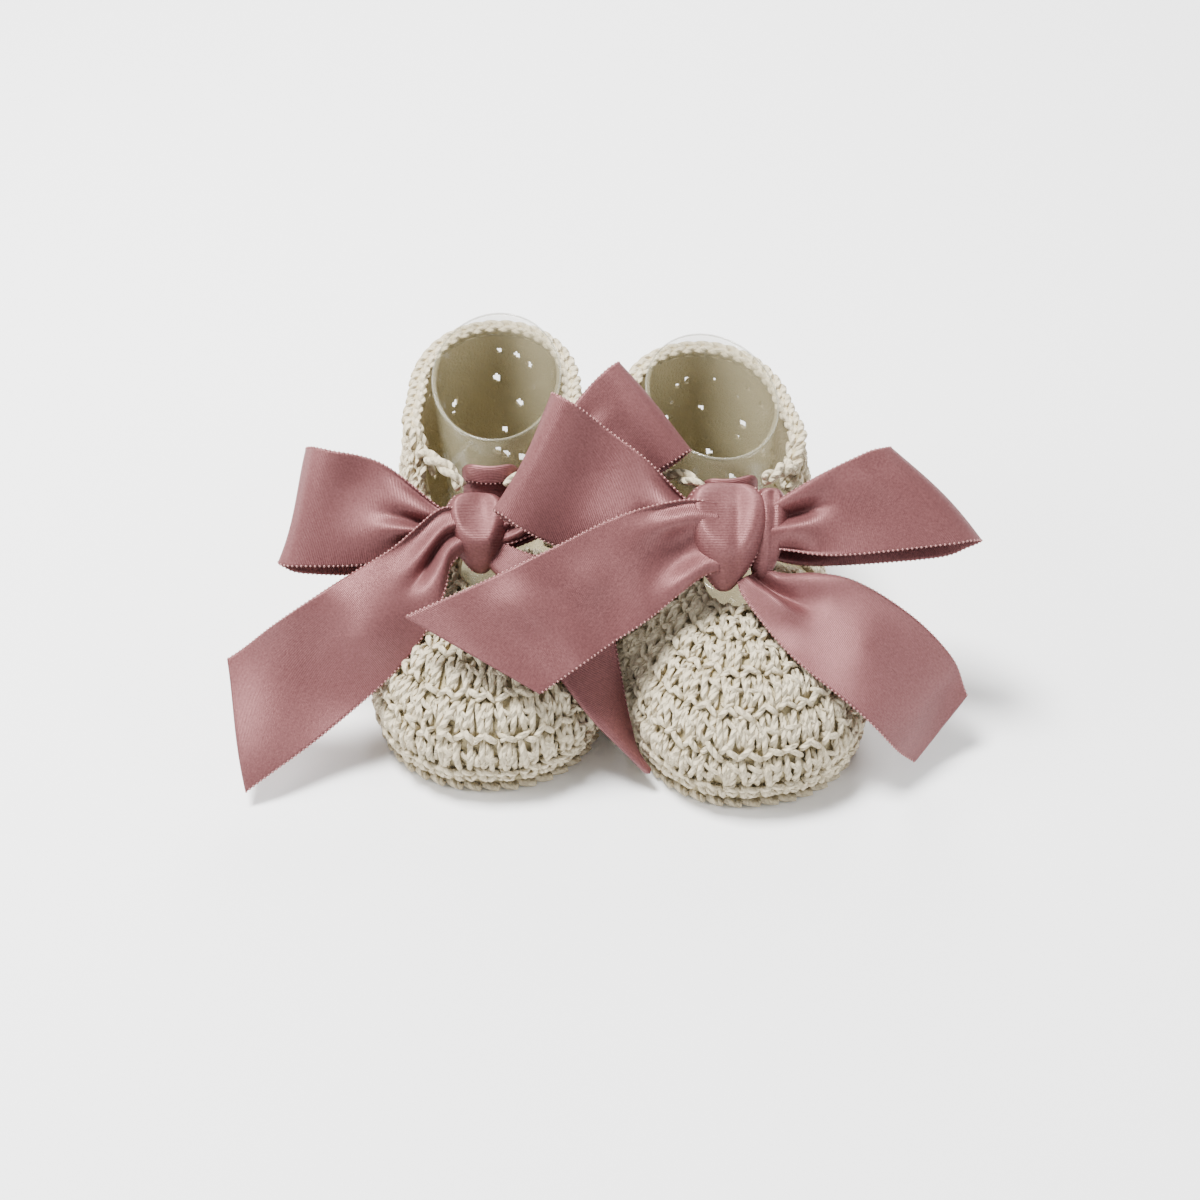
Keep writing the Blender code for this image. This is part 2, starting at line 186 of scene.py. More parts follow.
def nodes_of(name, **values):
    """A material with its tree, its Principled shader and the shader's plain values set."""
    made = bpy.data.materials.new(name)
    made.use_nodes = True
    shader = made.node_tree.nodes["Principled BSDF"]
    for key, value in values.items():
        shader.inputs[key.replace("_", " ")].default_value = value
    return made, made.node_tree, shader


def link(tree, source, socket, target, key):
    """A wire from one node's output to another's input."""
    tree.links.new(source.outputs[socket], target.inputs[key])


def yarn(name, light, shadow, ply_height):
    """Matte cotton: its own ivory on the crowns and painted olive shade in the gaps, with the ply's twist and
    fine fluff raised.
    """
    made, tree, shader = nodes_of(name, Roughness=0.85, Sheen_Weight=0.08, Sheen_Roughness=0.5)
    shader.inputs["Specular IOR Level"].default_value = 0.2
    # The depth attribute, with a little mottle, picks painted shade: the shadow colour darkens the gaps and
    # the strands' ends.
    depth = tree.nodes.new("ShaderNodeAttribute")
    depth.attribute_name = "depth"
    place = tree.nodes.new("ShaderNodeTexCoord")
    mottle = tree.nodes.new("ShaderNodeTexNoise")
    mottle.inputs["Scale"].default_value = 260
    mottle.inputs["Detail"].default_value = 3
    link(tree, place, "Object", mottle, "Vector")
    amount = tree.nodes.new("ShaderNodeMath")
    amount.operation = "MULTIPLY_ADD"
    amount.inputs[1].default_value = 0.5
    link(tree, mottle, "Fac", amount, 0)
    link(tree, depth, "Fac", amount, 2)
    ramp = tree.nodes.new("ShaderNodeMapRange")
    ramp.inputs["From Min"].default_value = 0.15
    ramp.inputs["From Max"].default_value = 1.1
    link(tree, amount, "Value", ramp, "Value")
    mix = tree.nodes.new("ShaderNodeMix")
    mix.data_type = "RGBA"
    mix.inputs[6].default_value = (*light, 1)
    mix.inputs[7].default_value = (*shadow, 1)
    link(tree, ramp, "Result", mix, 0)
    tree.links.new(mix.outputs[2], shader.inputs["Base Color"])
    split = tree.nodes.new("ShaderNodeSeparateXYZ")
    link(tree, place, "UV", split, 0)
    ply = tree.nodes.new("ShaderNodeMath")
    ply.operation = "MULTIPLY_ADD"
    ply.inputs[1].default_value = 0.5
    link(tree, split, "Y", ply, 0)
    round_twice = tree.nodes.new("ShaderNodeMath")
    round_twice.operation = "MULTIPLY"
    round_twice.inputs[1].default_value = 2
    link(tree, split, "X", round_twice, 0)
    link(tree, round_twice, 0, ply, 2)
    wave = tree.nodes.new("ShaderNodeMath")
    wave.operation = "PINGPONG"
    wave.inputs[1].default_value = 0.5
    link(tree, ply, 0, wave, 0)
    fluff = tree.nodes.new("ShaderNodeTexNoise")
    fluff.inputs["Scale"].default_value = 1800
    fluff.inputs["Detail"].default_value = 4
    link(tree, place, "Object", fluff, "Vector")
    height = tree.nodes.new("ShaderNodeMath")
    height.operation = "MULTIPLY_ADD"
    height.inputs[1].default_value = ply_height
    link(tree, wave, 0, height, 0)
    link(tree, fluff, "Fac", height, 2)
    bump = tree.nodes.new("ShaderNodeBump")
    bump.inputs["Strength"].default_value = 1.0
    bump.inputs["Distance"].default_value = 0.0004
    link(tree, height, 0, bump, "Height")
    link(tree, bump, "Normal", shader, "Normal")
    return made


# Each yarn's second colour is painted shade for the gaps; the backing's colours are darker still, painted
# shade seen between the stitches.
IVORY = yarn("ivory_cotton", (0.69, 0.60, 0.43), (0.40, 0.33, 0.19), 3.0)
IVORY_SHADE_BACKING = yarn("ivory_cotton_shade_backing", (0.54, 0.46, 0.28), (0.36, 0.30, 0.15), 0.0)

SOLE_PITCH = 3.6
SOLE_GIRTH = 235
SOLE_STRAND = 0.9
for side in BOOTIES:
    x, y = outline(angle_at(np.linspace(0, 1, 121)[:-1], 0, 360))
    # share of the plan, height
    plate = [(0.0, 0.9), (0.9, 0.9), (0.935, 1.2), (0.945, 2.0), (0.93, 2.7), (0.0, 2.8)]
    grid = np.array([np.stack([x * s, y * s, np.full_like(x, z)], axis=-1) for s, z in plate])[::-1]
    # The plate is in the darker backing ivory: painted shade between the stitch rounds.
    base = surface(f"{side}_sole_plate", stand(side, grid), IVORY_SHADE_BACKING, wrap=True)
    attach(base, f"{side}_bootie")
    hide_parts(f"{side}_sole")
    rounds = []
    for scale in np.arange(0.94, 0.06, -0.115):
        count = int(SOLE_GIRTH * (scale + 0.04) / SOLE_PITCH)
        share = np.arange(count) / count
        step = np.linspace(0, 1, 7)
        where = share[:, None] + (step - 0.5) * 1.5 / count
        inward = scale + (0.5 - step) * 0.06
        x, y = outline(angle_at(where % 1, 0, 360))
        up = 0.95 + 0.35 * (1 - np.sin(np.pi * step))
        rounds.append(np.stack([x * inward, y * inward, up + 0 * x], axis=-1))
    path = stand(side, np.concatenate(rounds))
    # Painted shade: each stitch is darker towards its ends, where it sinks between its neighbours.
    depth = np.broadcast_to(0.5 - 0.5 * np.sin(np.pi * np.linspace(0.1, 0.9, 7)), path.shape[:2])
    stitches = strands(f"{side}_sole_stitches", path, SOLE_STRAND * MM, depth, IVORY)
    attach(stitches, f"{side}_bootie")

# Toe caps: a quarter dome 42 mm long and 29 mm high, in rows about 8 mm deep that curve round the toe.
# Each stitch is a pair of upright legs with a wrap across them, and a ridge of slanted loops tops each row.
STRAND_STEPS = 7
GROUND_LIFT, GROUND_WALL = -1.1, 1.4
STRAND_FOOT = -1.3
TOE_ROWS = ((0.4, 4.8), (4.8, 13.0), (13.0, 21.2), (21.2, 29.4), (29.4, 37.4), (37.4, 44.0))
TOE_GIRTH, TOE_PITCH = 112, 4.1
step = np.linspace(0, 1, STRAND_STEPS)


def wall_profile(lean):
    """How much of the plan is left, and the height, where the wall leans in by an angle."""
    low, high = np.clip(-lean, 0, 1.5), np.clip(lean, 0, 1.5)
    shrink = np.where(lean < 0, np.cos(low), np.cos(high) ** 0.8)
    return shrink, 9 - 5.9 * np.sin(low) / np.sin(np.radians(18)) + 20 * np.sin(high)


def toe_surface(angle, lean):
    """The plan at the instep's front half, drawn in and up as the wall leans."""
    x, y = outline(angle)
    shrink, height = wall_profile(lean)
    return np.stack([x * shrink, APEX_Y - 0.5 + (y - APEX_Y) * shrink, height + 0 * x], axis=-1)


def lifted(shape, first, second, lift):
    """Points of a surface, moved out of it along its normal by a lift in millimetres."""
    small = 2e-3
    one = shape(first + small, second) - shape(first - small, second)
    other = shape(first, second + small) - shape(first, second - small)
    normal = np.cross(other, one)
    normal /= np.linalg.norm(normal, axis=-1, keepdims=True) + 1e-9
    return shape(first, second) + normal * np.asarray(lift)[..., None]


leans = np.radians(np.linspace(-18, 84, 600))
toe_line = toe_surface(np.full_like(leans, np.pi / 2), leans)
toe_run = np.concatenate([[0], np.cumsum(np.linalg.norm(np.diff(toe_line, axis=0), axis=-1))])


def stitch_row(count, low, high, wobble, strand_count=9):
    """One row's strands as (start share, start height, end share, end height, lift, radius), jittered.

    Shares are of the way round, in stitches from each one's middle, and heights are of the row's depth.
    """
    middle = (np.arange(count) + 0.5) / count
    pitch, rise = 1 / count, high - low
    kinds = [
        (-0.04, -0.06, -0.40, 0.94, 0.02, 0.64),  # left leg
        (0.08, -0.06, 0.42, 0.94, 0.06, 0.64),  # right leg
        (-0.30, 0.02, -0.18, 0.90, -0.20, 0.58),  # second left leg, behind
        (0.34, 0.04, 0.14, 0.92, -0.15, 0.58),  # second right leg, behind
        (-0.52, 0.40, 0.36, 0.66, 0.16, 0.54),  # wrap
        (-0.58, 0.84, 0.26, 1.14, 0.10, 0.64),  # front of the top loop
        (-0.24, 1.16, 0.58, 0.84, 0.06, 0.62),  # back of the top loop
        (-0.40, 0.62, 0.02, 0.14, 0.00, 0.52),  # left side of the foot
        (0.44, 0.66, 0.00, 0.20, 0.02, 0.52),  # right side of the foot
    ][:strand_count]
    made = []
    for t0, s0, t1, s1, lift, radius in kinds:
        shake = rng.normal(0, wobble, (4, count))
        made.append(
            np.stack(
                [
                    middle + (t0 + shake[0]) * pitch,
                    low + (s0 + 0.5 * shake[1]) * rise,
                    middle + (t1 + shake[2]) * pitch,
                    low + (s1 + 0.5 * shake[3]) * rise,
                    lift + rng.normal(0, 0.10, count),
                    radius * rng.normal(1, 0.07, count),
                ],
                axis=-1,
            )
        )
    return np.concatenate(made)


def stitch_paths(shape, rows, angle_of, level_of, base):
    """Each strand runs from its start to its end over the surface and rises to its lift between; also gives
    back its painted shade, most at its ends where it sinks.
    """
    share = rows[:, 0, None] + (rows[:, 2] - rows[:, 0])[:, None] * step
    level = rows[:, 1, None] + (rows[:, 3] - rows[:, 1])[:, None] * step
    arch = np.sin(np.pi * np.clip(step, 0.02, 0.98)) ** 0.6
    lift = base + (rows[:, 4, None] - base) * arch
    return lifted(shape, angle_of(share), level_of(level), lift), 1 - arch


for side in BOOTIES:
    angle_of = lambda share: angle_at(np.clip(share, 0.012, 0.988), 0, 180)
    level_of = lambda run: np.interp(run, toe_run, leans)
    grid_angle, grid_lean = np.meshgrid(angle_of(np.linspace(0, 1, 61)), level_of(np.linspace(0.5, 46, 34)))
    grid = lifted(toe_surface, grid_angle, grid_lean, np.full(grid_angle.shape, GROUND_LIFT))
    # The ground under the stitches is in the darker backing ivory: painted shade seen between them.
    cover = thicken(surface(f"{side}_toe_ground", stand(side, grid), IVORY_SHADE_BACKING), GROUND_WALL, 1)
    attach(cover, f"{side}_bootie")
    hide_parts(f"{side}_toe_cap")
    rows = []
    for low, high in TOE_ROWS:
        shrink = float(wall_profile(level_of((low + high) / 2))[0])
        rows.append(stitch_row(max(5, round(TOE_GIRTH * shrink / TOE_PITCH)), low, high, 0.13))
    rows = np.concatenate(rows)
    path, depth = stitch_paths(toe_surface, rows, angle_of, level_of, STRAND_FOOT)
    toe = strands(f"{side}_toe_stitches", stand(side, path), rows[:, 5] * MM, depth, IVORY)
    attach(toe, f"{side}_bootie")

# Heel quarters: the wall round the heel, 46 mm high at the back, falling to the instep seam at 27 mm.
# Close rows of short stitches outside, with small gaps behind the heel that let light into the bootie.
def collar_line(angle):
    """The top edge: it climbs from the instep seam to the ankle and runs round it."""
    x, y = outline(angle)
    seam = np.cos(np.radians(66)) ** 0.8
    narrow = seam + (0.86 - seam) * ease((y - APEX_Y) / 20)
    back = ease((y - 24) / (HEEL_END - 24))
    seam_height = 9 + 20 * np.sin(np.radians(66))
    rise = seam_height + (44 - seam_height) * ease((y - APEX_Y) / 16) + 1.5 * back
    return x * narrow, y - 0.5 * back, rise


def quarter_surface(angle, level):
    """Level -1 is the sole's edge, 0 the widest height and 1 the collar."""
    x, y = outline(angle)
    top_x, top_y, top_z = collar_line(angle)
    shrink, low_z = wall_profile(np.radians(18) * np.clip(level, -1, 0))
    end = np.radians(66 - 36 * ease((y - APEX_Y) / 22))
    lean = end * np.clip(level, 0, 1.1)
    across = (1 - np.cos(lean) ** 0.8) / (1 - np.cos(end) ** 0.8)
    up = np.sin(lean) / np.sin(end)
    below = np.stack([x * shrink, APEX_Y + (y - APEX_Y) * shrink, low_z + 0 * x], axis=-1)
    above = np.stack([x + (top_x - x) * across, y + (top_y - y) * across, 9 + (top_z - 9) * up], axis=-1)
    return np.where((level < 0)[..., None], below, above) + np.array([0, 0.5, 0])


BELOW_WIDEST, ABOVE_WIDEST = 6.2, 36.5
HEEL_GIRTH, HEEL_WALL = 140, 0.6
GAP_COUNT, GAP_CLEAR = 24, 0.35
STITCHES_PER_ROW = 34
for side in BOOTIES:
    angle_of = lambda share: angle_at(np.clip(share, 0.012, 0.988), 180, 360)
    level_of = lambda run: np.where(
        run < BELOW_WIDEST, run / BELOW_WIDEST - 1, (run - BELOW_WIDEST) / ABOVE_WIDEST
    )
    grid_share, grid_run = np.meshgrid(np.linspace(0, 1, 201), np.linspace(0.5, 42.5, 85))
    grid_level = level_of(grid_run)
    grid = lifted(quarter_surface, angle_of(grid_share), grid_level, np.full(grid_share.shape, GROUND_LIFT))
    middle = (grid_share[:-1, :-1] + grid_share[1:, 1:]) / 2
    height = (grid_run[:-1, :-1] + grid_run[1:, 1:]) / 2
    gaps = np.stack([rng.uniform(0.28, 0.72, GAP_COUNT), rng.uniform(9, 39, GAP_COUNT)], axis=-1)
    sizes = rng.uniform(0.5, 1.25, GAP_COUNT)
    away = [
        np.hypot((middle - share) * HEEL_GIRTH, height - run) - size
        for (share, run), size in zip(gaps, sizes)
    ]
    holes = np.min(away, axis=0) < 0
    # The ground under the stitches is in the darker backing ivory: painted shade seen between them.
    lining = surface(f"{side}_heel_ground", stand(side, grid), IVORY_SHADE_BACKING, keep=~holes)
    thicken(lining, HEEL_WALL, 1)
    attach(lining, f"{side}_bootie")
    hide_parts(f"{side}_heel_quarter")
    edges = np.concatenate([[0.4], np.linspace(4.6, 42.2, 9)])
    rows = [stitch_row(STITCHES_PER_ROW, low, high, 0.12, 7) for low, high in zip(edges[:-1], edges[1:])]
    rows = np.concatenate(rows)
    spots = rows[:, None, :2] + (rows[:, 2:4] - rows[:, :2])[:, None] * step[:, None]
    clear_of = [
        np.hypot((spots[..., 0] - share) * HEEL_GIRTH, spots[..., 1] - run).min(axis=1) - size
        for (share, run), size in zip(gaps, sizes)
    ]
    rows = rows[np.min(clear_of, axis=0) > GAP_CLEAR]
    path, depth = stitch_paths(quarter_surface, rows, angle_of, level_of, STRAND_FOOT)
    heel = strands(f"{side}_heel_stitches", stand(side, path), rows[:, 5] * 1.1 * MM, depth, IVORY)
    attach(heel, f"{side}_bootie")

# Collar edgings: a braid of V-shaped chain stitches, 4 mm wide, round the top of each quarter.
# Two slanted strands make each V and lie over a plain cord in darker ivory, painted shade seen between them.
def framed(path, outward):
    """The way along a path, the way out of the ankle and the way up, at each of its points."""
    along = np.gradient(path, axis=0)
    along /= np.linalg.norm(along, axis=-1, keepdims=True)
    up = np.cross(outward, along)
    up /= np.linalg.norm(up, axis=-1, keepdims=True)
    return along, np.cross(along, up), up


def braid(side, name, path, outward, width, pitch, radius, node):
    """Pairs of strands from a path's two sides to its middle, one pair every pitch, over a core cord."""
    run = np.concatenate([[0], np.cumsum(np.linalg.norm(np.diff(path, axis=0), axis=-1))])
    along, out, up = framed(path, outward)
    up = np.where(up[:, 2:] < 0, -up, up)
    starts = np.arange(0, run[-1] - pitch * 0.6, pitch)
    made, shade = [], []
    for hand in (-1, 1):
        at = starts[:, None] + (step * 1.55 - 0.25) * pitch + rng.normal(0, 0.12, (len(starts), 1))
        spread = hand * width * (1 - 0.85 * ease(step))
        rise = 0.25 * width + 0.45 * np.sin(np.pi * step)
        at = np.clip(at, 0, run[-1])
        spot = [
            np.stack([np.interp(at, run, line[:, axis]) for axis in range(3)], axis=-1)
            for line in (path, out, up)
        ]
        made.append(spot[0] + spot[1] * spread[:, None] + spot[2] * rise[:, None])
        # Painted shade: darkest at each strand's ends, where it tucks under.
        shade.append(np.broadcast_to(0.8 - 0.8 * np.sin(np.pi * step) ** 0.5, at.shape))
    made, shade = np.concatenate(made), np.concatenate(shade)
    loops = strands(f"{side}_{name}_braid", made * MM, radius * MM, shade, IVORY)
    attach(loops, f"{side}_bootie")
    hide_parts(node)
    turn = np.linspace(0, 2 * np.pi, 13)[:-1]
    ring = np.cos(turn)[:, None] * out[:, None] + np.sin(turn)[:, None] * up[:, None]
    size = np.concatenate([[0.02, 0.7], np.ones(len(path) - 4), [0.7, 0.02]]) * width * 0.72
    cord = (path[:, None] + ring * size[:, None, None]) * MM
    # The core cord is in the darker backing ivory: painted shade between the braid's strands.
    core = surface(f"{side}_{name}_core", cord, IVORY_SHADE_BACKING, wrap=True)
    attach(core, f"{side}_bootie")


ANKLE_Y = 22
COLLAR_HALF_WIDTH, COLLAR_PITCH, COLLAR_STRAND = 1.5, 3.1, 0.78
for side in BOOTIES:
    x, y, z = collar_line(angle_at(np.linspace(0, 1, 90), 190, 350))
    inward = 1 - 1.2 / np.hypot(x, y - ANKLE_Y)
    path = np.stack([x * inward, ANKLE_Y + (y - ANKLE_Y) * inward, z + 1.5], axis=-1)
    outward = np.stack([x, y - ANKLE_Y, 0 * x], axis=-1)
    path = stand(side, path) / MM
    outward = stand(side, outward) / MM - stand(side, np.zeros(3)) / MM
    sizes = (COLLAR_HALF_WIDTH, COLLAR_PITCH, COLLAR_STRAND)
    braid(side, "collar", path, outward, *sizes, f"{side}_collar_edging")

# Lacing loops: short twisted cords, 4 mm thick, from the collar's front corners to the knots.
# The bow's axes are right, up its plane, which leans back by 40 degrees, and out towards the toes.
KNOTS = {"left": (-24.5, -10.0, 36.0), "right": (25.5, -16.0, 40.0)}
BOW_AXES = np.array([[1, 0, 0], [0, 0.6428, 0.7660], [0, -0.7660, 0.6428]])
LACING = {
    "left_lacing_loop_left": [
        (-12, 15.5, -9), (-10.5, 15.5, -7), (-8, 14, -3.5), (-5, 12, -1), (-3, 9, 0),
    ],
    "left_lacing_loop_right": [
        (17.5, 15.5, -8.5), (16, 15.5, -6.5), (13, 14, -3.5), (9.5, 12, -1.5), (6, 9, -0.5),
    ],
    "right_lacing_loop_left": [
        (-15.5, 10.5, -9), (-13.5, 11.5, -7), (-11, 12, -4.5), (-8, 11, -2), (-6, 9, -1),
    ],
    "right_lacing_loop_right": [
        (13, 13.5, -12), (11.5, 14, -9.5), (10.5, 13.5, -6.5), (8.5, 12.5, -4), (6, 11, -2),
    ],
}


def bow_place(side, points):
    """Points in a bow's own millimetres, in metres where the bow is."""
    return (np.asarray(points, float) @ BOW_AXES + np.array(KNOTS[side]) + np.array([*CENTRE, 0])) * MM


def smooth_path(points, count):
    """Even steps along the Catmull-Rom curve through every given point."""
    points = np.asarray(points, float)
    ends = np.concatenate([[2 * points[0] - points[1]], points, [2 * points[-1] - points[-2]]])
    place = np.linspace(0, len(points) - 1, count)
    left = np.minimum(place.astype(int), len(points) - 2)
    t = (place - left).reshape((-1,) + (1,) * (points.ndim - 1))
    a, b, c, d = ends[left], ends[left + 1], ends[left + 2], ends[left + 3]
    return 0.5 * (2 * b + (c - a) * t + (2 * a - 5 * b + 4 * c - d) * t**2 + (3 * b - a - 3 * c + d) * t**3)


LACING_STEPS, LACING_TURNS = 40, 1.6
LACING_APART, LACING_STRAND = 0.7, 0.85
for node, points in LACING.items():
    side = node.split("_")[0]
    line = bow_place(side, smooth_path(points, LACING_STEPS)) / MM
    along, out, up = framed(line, np.broadcast_to(BOW_AXES[1], line.shape))
    turn = np.linspace(0, 2 * np.pi * LACING_TURNS, LACING_STEPS)[:, None]
    pair = [
        line + LACING_APART * (np.cos(turn + phase) * out + np.sin(turn + phase) * up)
        for phase in (0, np.pi)
    ]
    # A slight, even painted shade over the whole cord.
    depth = np.full((2, LACING_STEPS), 0.15)
    rope = strands(f"{node}_cord", np.array(pair) * MM, LACING_STRAND * MM, depth, IVORY, sides=10)
    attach(rope, f"{side}_bootie")
    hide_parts(node)

# Foot forms: thin clear plastic cups the shape of a foot, 0.7 mm thick, with a round rim 26 by 40 mm.
# The plastic is glossy and the rolled rim catches the light; the plastic's faint olive tint is painted shade
# of the bootie's shaded inside seen through it, darker on the rim for the dark line along its roll.
def clear(name, shade_tint, alpha, roughness):
    """Glossy plastic that lets the rest of the light through; its tint is painted shade."""
    made, _, shader = nodes_of(name, Roughness=roughness, Alpha=alpha, IOR=1.49, Coat_Weight=1.0)
    shader.inputs["Base Color"].default_value = (*shade_tint, 1)
    shader.inputs["Coat Roughness"].default_value = 0.04
    return made


# Painted shade: the form's olive tint for the shaded inside seen through it, the rim's darker tint for the
# dark line along its roll.
FORM = clear("clear_form", (0.52, 0.47, 0.30), 0.2, 0.12)
RIM = clear("clear_rim", (0.34, 0.32, 0.24), 0.35, 0.05)
# front y, back y, half width, front height, back height, how much wider the toe half is
RINGS = [
    (-38.0, 37.0, 15.6, 3.8, 3.8, 0.09),
    (-41.6, 39.6, 17.0, 7.0, 7.0, 0.09),
    (-42.4, 40.4, 17.4, 11.0, 11.5, 0.09),
    (-38.5, 40.4, 16.2, 15.6, 16.4, 0.07),
    (-29.5, 40.2, 13.0, 19.6, 21.0, 0.04),
    (-17.0, 40.0, 10.4, 22.2, 26.0, 0.0),
    (-8.0, 40.0, 10.0, 23.2, 32.0, 0.0),
    (-4.6, 40.2, 11.2, 30.0, 39.5, 0.0),
    (-1.0, 40.6, 12.4, 40.0, 46.0, 0.0),
    (2.0, 41.5, 13.0, 49.0, 52.5, 0.0),
]
FORM_SHIFT, FORM_WALL, RIM_RADIUS = 0.6, 0.7, 0.22
for side in BOOTIES:
    front, back, half, low, high, egg = smooth_path(RINGS, 70).T[:, :, None]
    turn = np.linspace(0, 2 * np.pi, 97)[:-1]
    toe = np.cos(turn)
    x = half * np.sin(turn) * (1 + egg * toe) + FORM_SHIFT
    y = (front + back) / 2 - (back - front) / 2 * toe
    cup = np.stack([x, y, (low + high) / 2 + (low - high) / 2 * toe], axis=-1)
    bottom = cup[0] * 0 + cup[0].mean(axis=0)
    cup = np.concatenate([[bottom, 0.5 * bottom + 0.5 * cup[0]], cup])
    shell = thicken(surface(f"{side}_form_shell", stand(side, cup), FORM, wrap=True), FORM_WALL, -1)
    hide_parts(f"{side}_foot_form")
    ring_turn = np.linspace(0, 2 * np.pi, 13)[:-1]
    outward = np.stack([np.sin(turn), -np.cos(turn), 0 * turn], axis=-1)
    edge = cup[-1][:, None] + RIM_RADIUS * (
        outward[:, None] * np.cos(ring_turn)[:, None] + np.array([0, 0, 1]) * np.sin(ring_turn)[:, None]
    )
    edge = np.concatenate([edge, edge[:1]])
    rim = surface(f"{side}_form_rim", stand(side, edge), RIM, wrap=True)
    for piece in (shell, rim):
        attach(piece, f"{side}_form")

# Ribbon loops and tails: rose satin 25 mm wide, 0.25 mm thick, with a picot bead every millimetre on both
# edges. Each is a sheet through stations of (upper edge, lower edge) in its bow's axes, pleated at the knot.
def satin(name, face, deep):
    """Rose satin: a sheen drawn out along the threads, fine cross lines and a slight sparkle."""
    made, tree, shader = nodes_of(name, Roughness=0.45, Metallic=0.45, Anisotropic=0.4)
    shader.inputs["Specular Tint"].default_value = (1.0, 0.78, 0.78, 1)
    place = tree.nodes.new("ShaderNodeTexCoord")
    grain = tree.nodes.new("ShaderNodeTexNoise")
    grain.inputs["Scale"].default_value = 2400
    grain.inputs["Detail"].default_value = 3
    link(tree, place, "Object", grain, "Vector")
    mix = tree.nodes.new("ShaderNodeMix")
    mix.data_type = "RGBA"
    mix.inputs[6].default_value = (*face, 1)
    mix.inputs[7].default_value = (*deep, 1)
    spread = tree.nodes.new("ShaderNodeMapRange")
    spread.inputs["From Min"].default_value = 0.2
    spread.inputs["From Max"].default_value = 0.8
    link(tree, grain, "Fac", spread, "Value")
    link(tree, spread, "Result", mix, 0)
    tree.links.new(mix.outputs[2], shader.inputs["Base Color"])
    threads = tree.nodes.new("ShaderNodeTexWave")
    threads.wave_type = "BANDS"
    threads.bands_direction = "Y"
    threads.inputs["Scale"].default_value = 1.0
    threads.inputs["Distortion"].default_value = 0.4
    link(tree, place, "UV", threads, "Vector")
    height = tree.nodes.new("ShaderNodeMath")
    height.operation = "MULTIPLY_ADD"
    height.inputs[1].default_value = 0.5
    link(tree, grain, "Fac", height, 0)
    link(tree, threads, "Fac", height, 2)
    bump = tree.nodes.new("ShaderNodeBump")
    bump.inputs["Strength"].default_value = 0.5
    bump.inputs["Distance"].default_value = 0.0001
    link(tree, height, 0, bump, "Height")
    link(tree, bump, "Normal", shader, "Normal")
    return made


ROSE = satin("rose_satin_face", (0.21, 0.082, 0.082), (0.12, 0.042, 0.044))
PICOT = satin("rose_picot", (0.42, 0.21, 0.20), (0.34, 0.16, 0.16))


def sheet_normals(grid):
    """The way out of a sheet at each point: across its first row's way, then down its columns."""
    across = np.gradient(grid, axis=1)
    down = np.gradient(grid, axis=0)
    normal = np.cross(across, down)
    return normal / (np.linalg.norm(normal, axis=-1, keepdims=True) + 1e-12)


def beads(name, line, radius, pitch, material):
    """A bead every pitch along a line: twelve points and twenty faces each, at a corner of the golden box."""
    golden = (1 + 5**0.5) / 2
    corner = np.array([(s, t * golden, 0) for s in (-1, 1) for t in (-1, 1)], float)
    ball = np.concatenate([corner, np.roll(corner, 1, axis=1), np.roll(corner, 2, axis=1)])
    ball /= np.linalg.norm(ball[0])
    apart = np.linalg.norm(ball[:, None] - ball[None], axis=-1)
    near = apart < 1.1
    tri = [
        (a, b, c)
        for a in range(12)
        for b in range(a + 1, 12)
        for c in range(b + 1, 12)
        if near[a, b] and near[b, c] and near[a, c]
    ]
    tri = np.array([t if np.linalg.det(ball[list(t)]) > 0 else (t[0], t[2], t[1]) for t in tri])
    run = np.concatenate([[0], np.cumsum(np.linalg.norm(np.diff(line, axis=0), axis=-1))])
    at = np.arange(pitch / 2, run[-1], pitch)
    spots = np.stack([np.interp(at, run, line[:, axis]) for axis in range(3)], axis=-1)
    points = (spots[:, None] + ball * radius).reshape(-1, 3)
    faces = (np.arange(len(spots))[:, None, None] * 12 + tri).reshape(-1, 3)
    return mesh_object(name, points * MM, [faces], [np.zeros((len(faces), 3, 2))], material)


RIBBON_WIDTH, RIBBON_THICKNESS = 25, 0.25
PICOT_RADIUS, PICOT_PITCH = 0.27, 0.9
DOUBLED_GAP = 1.4


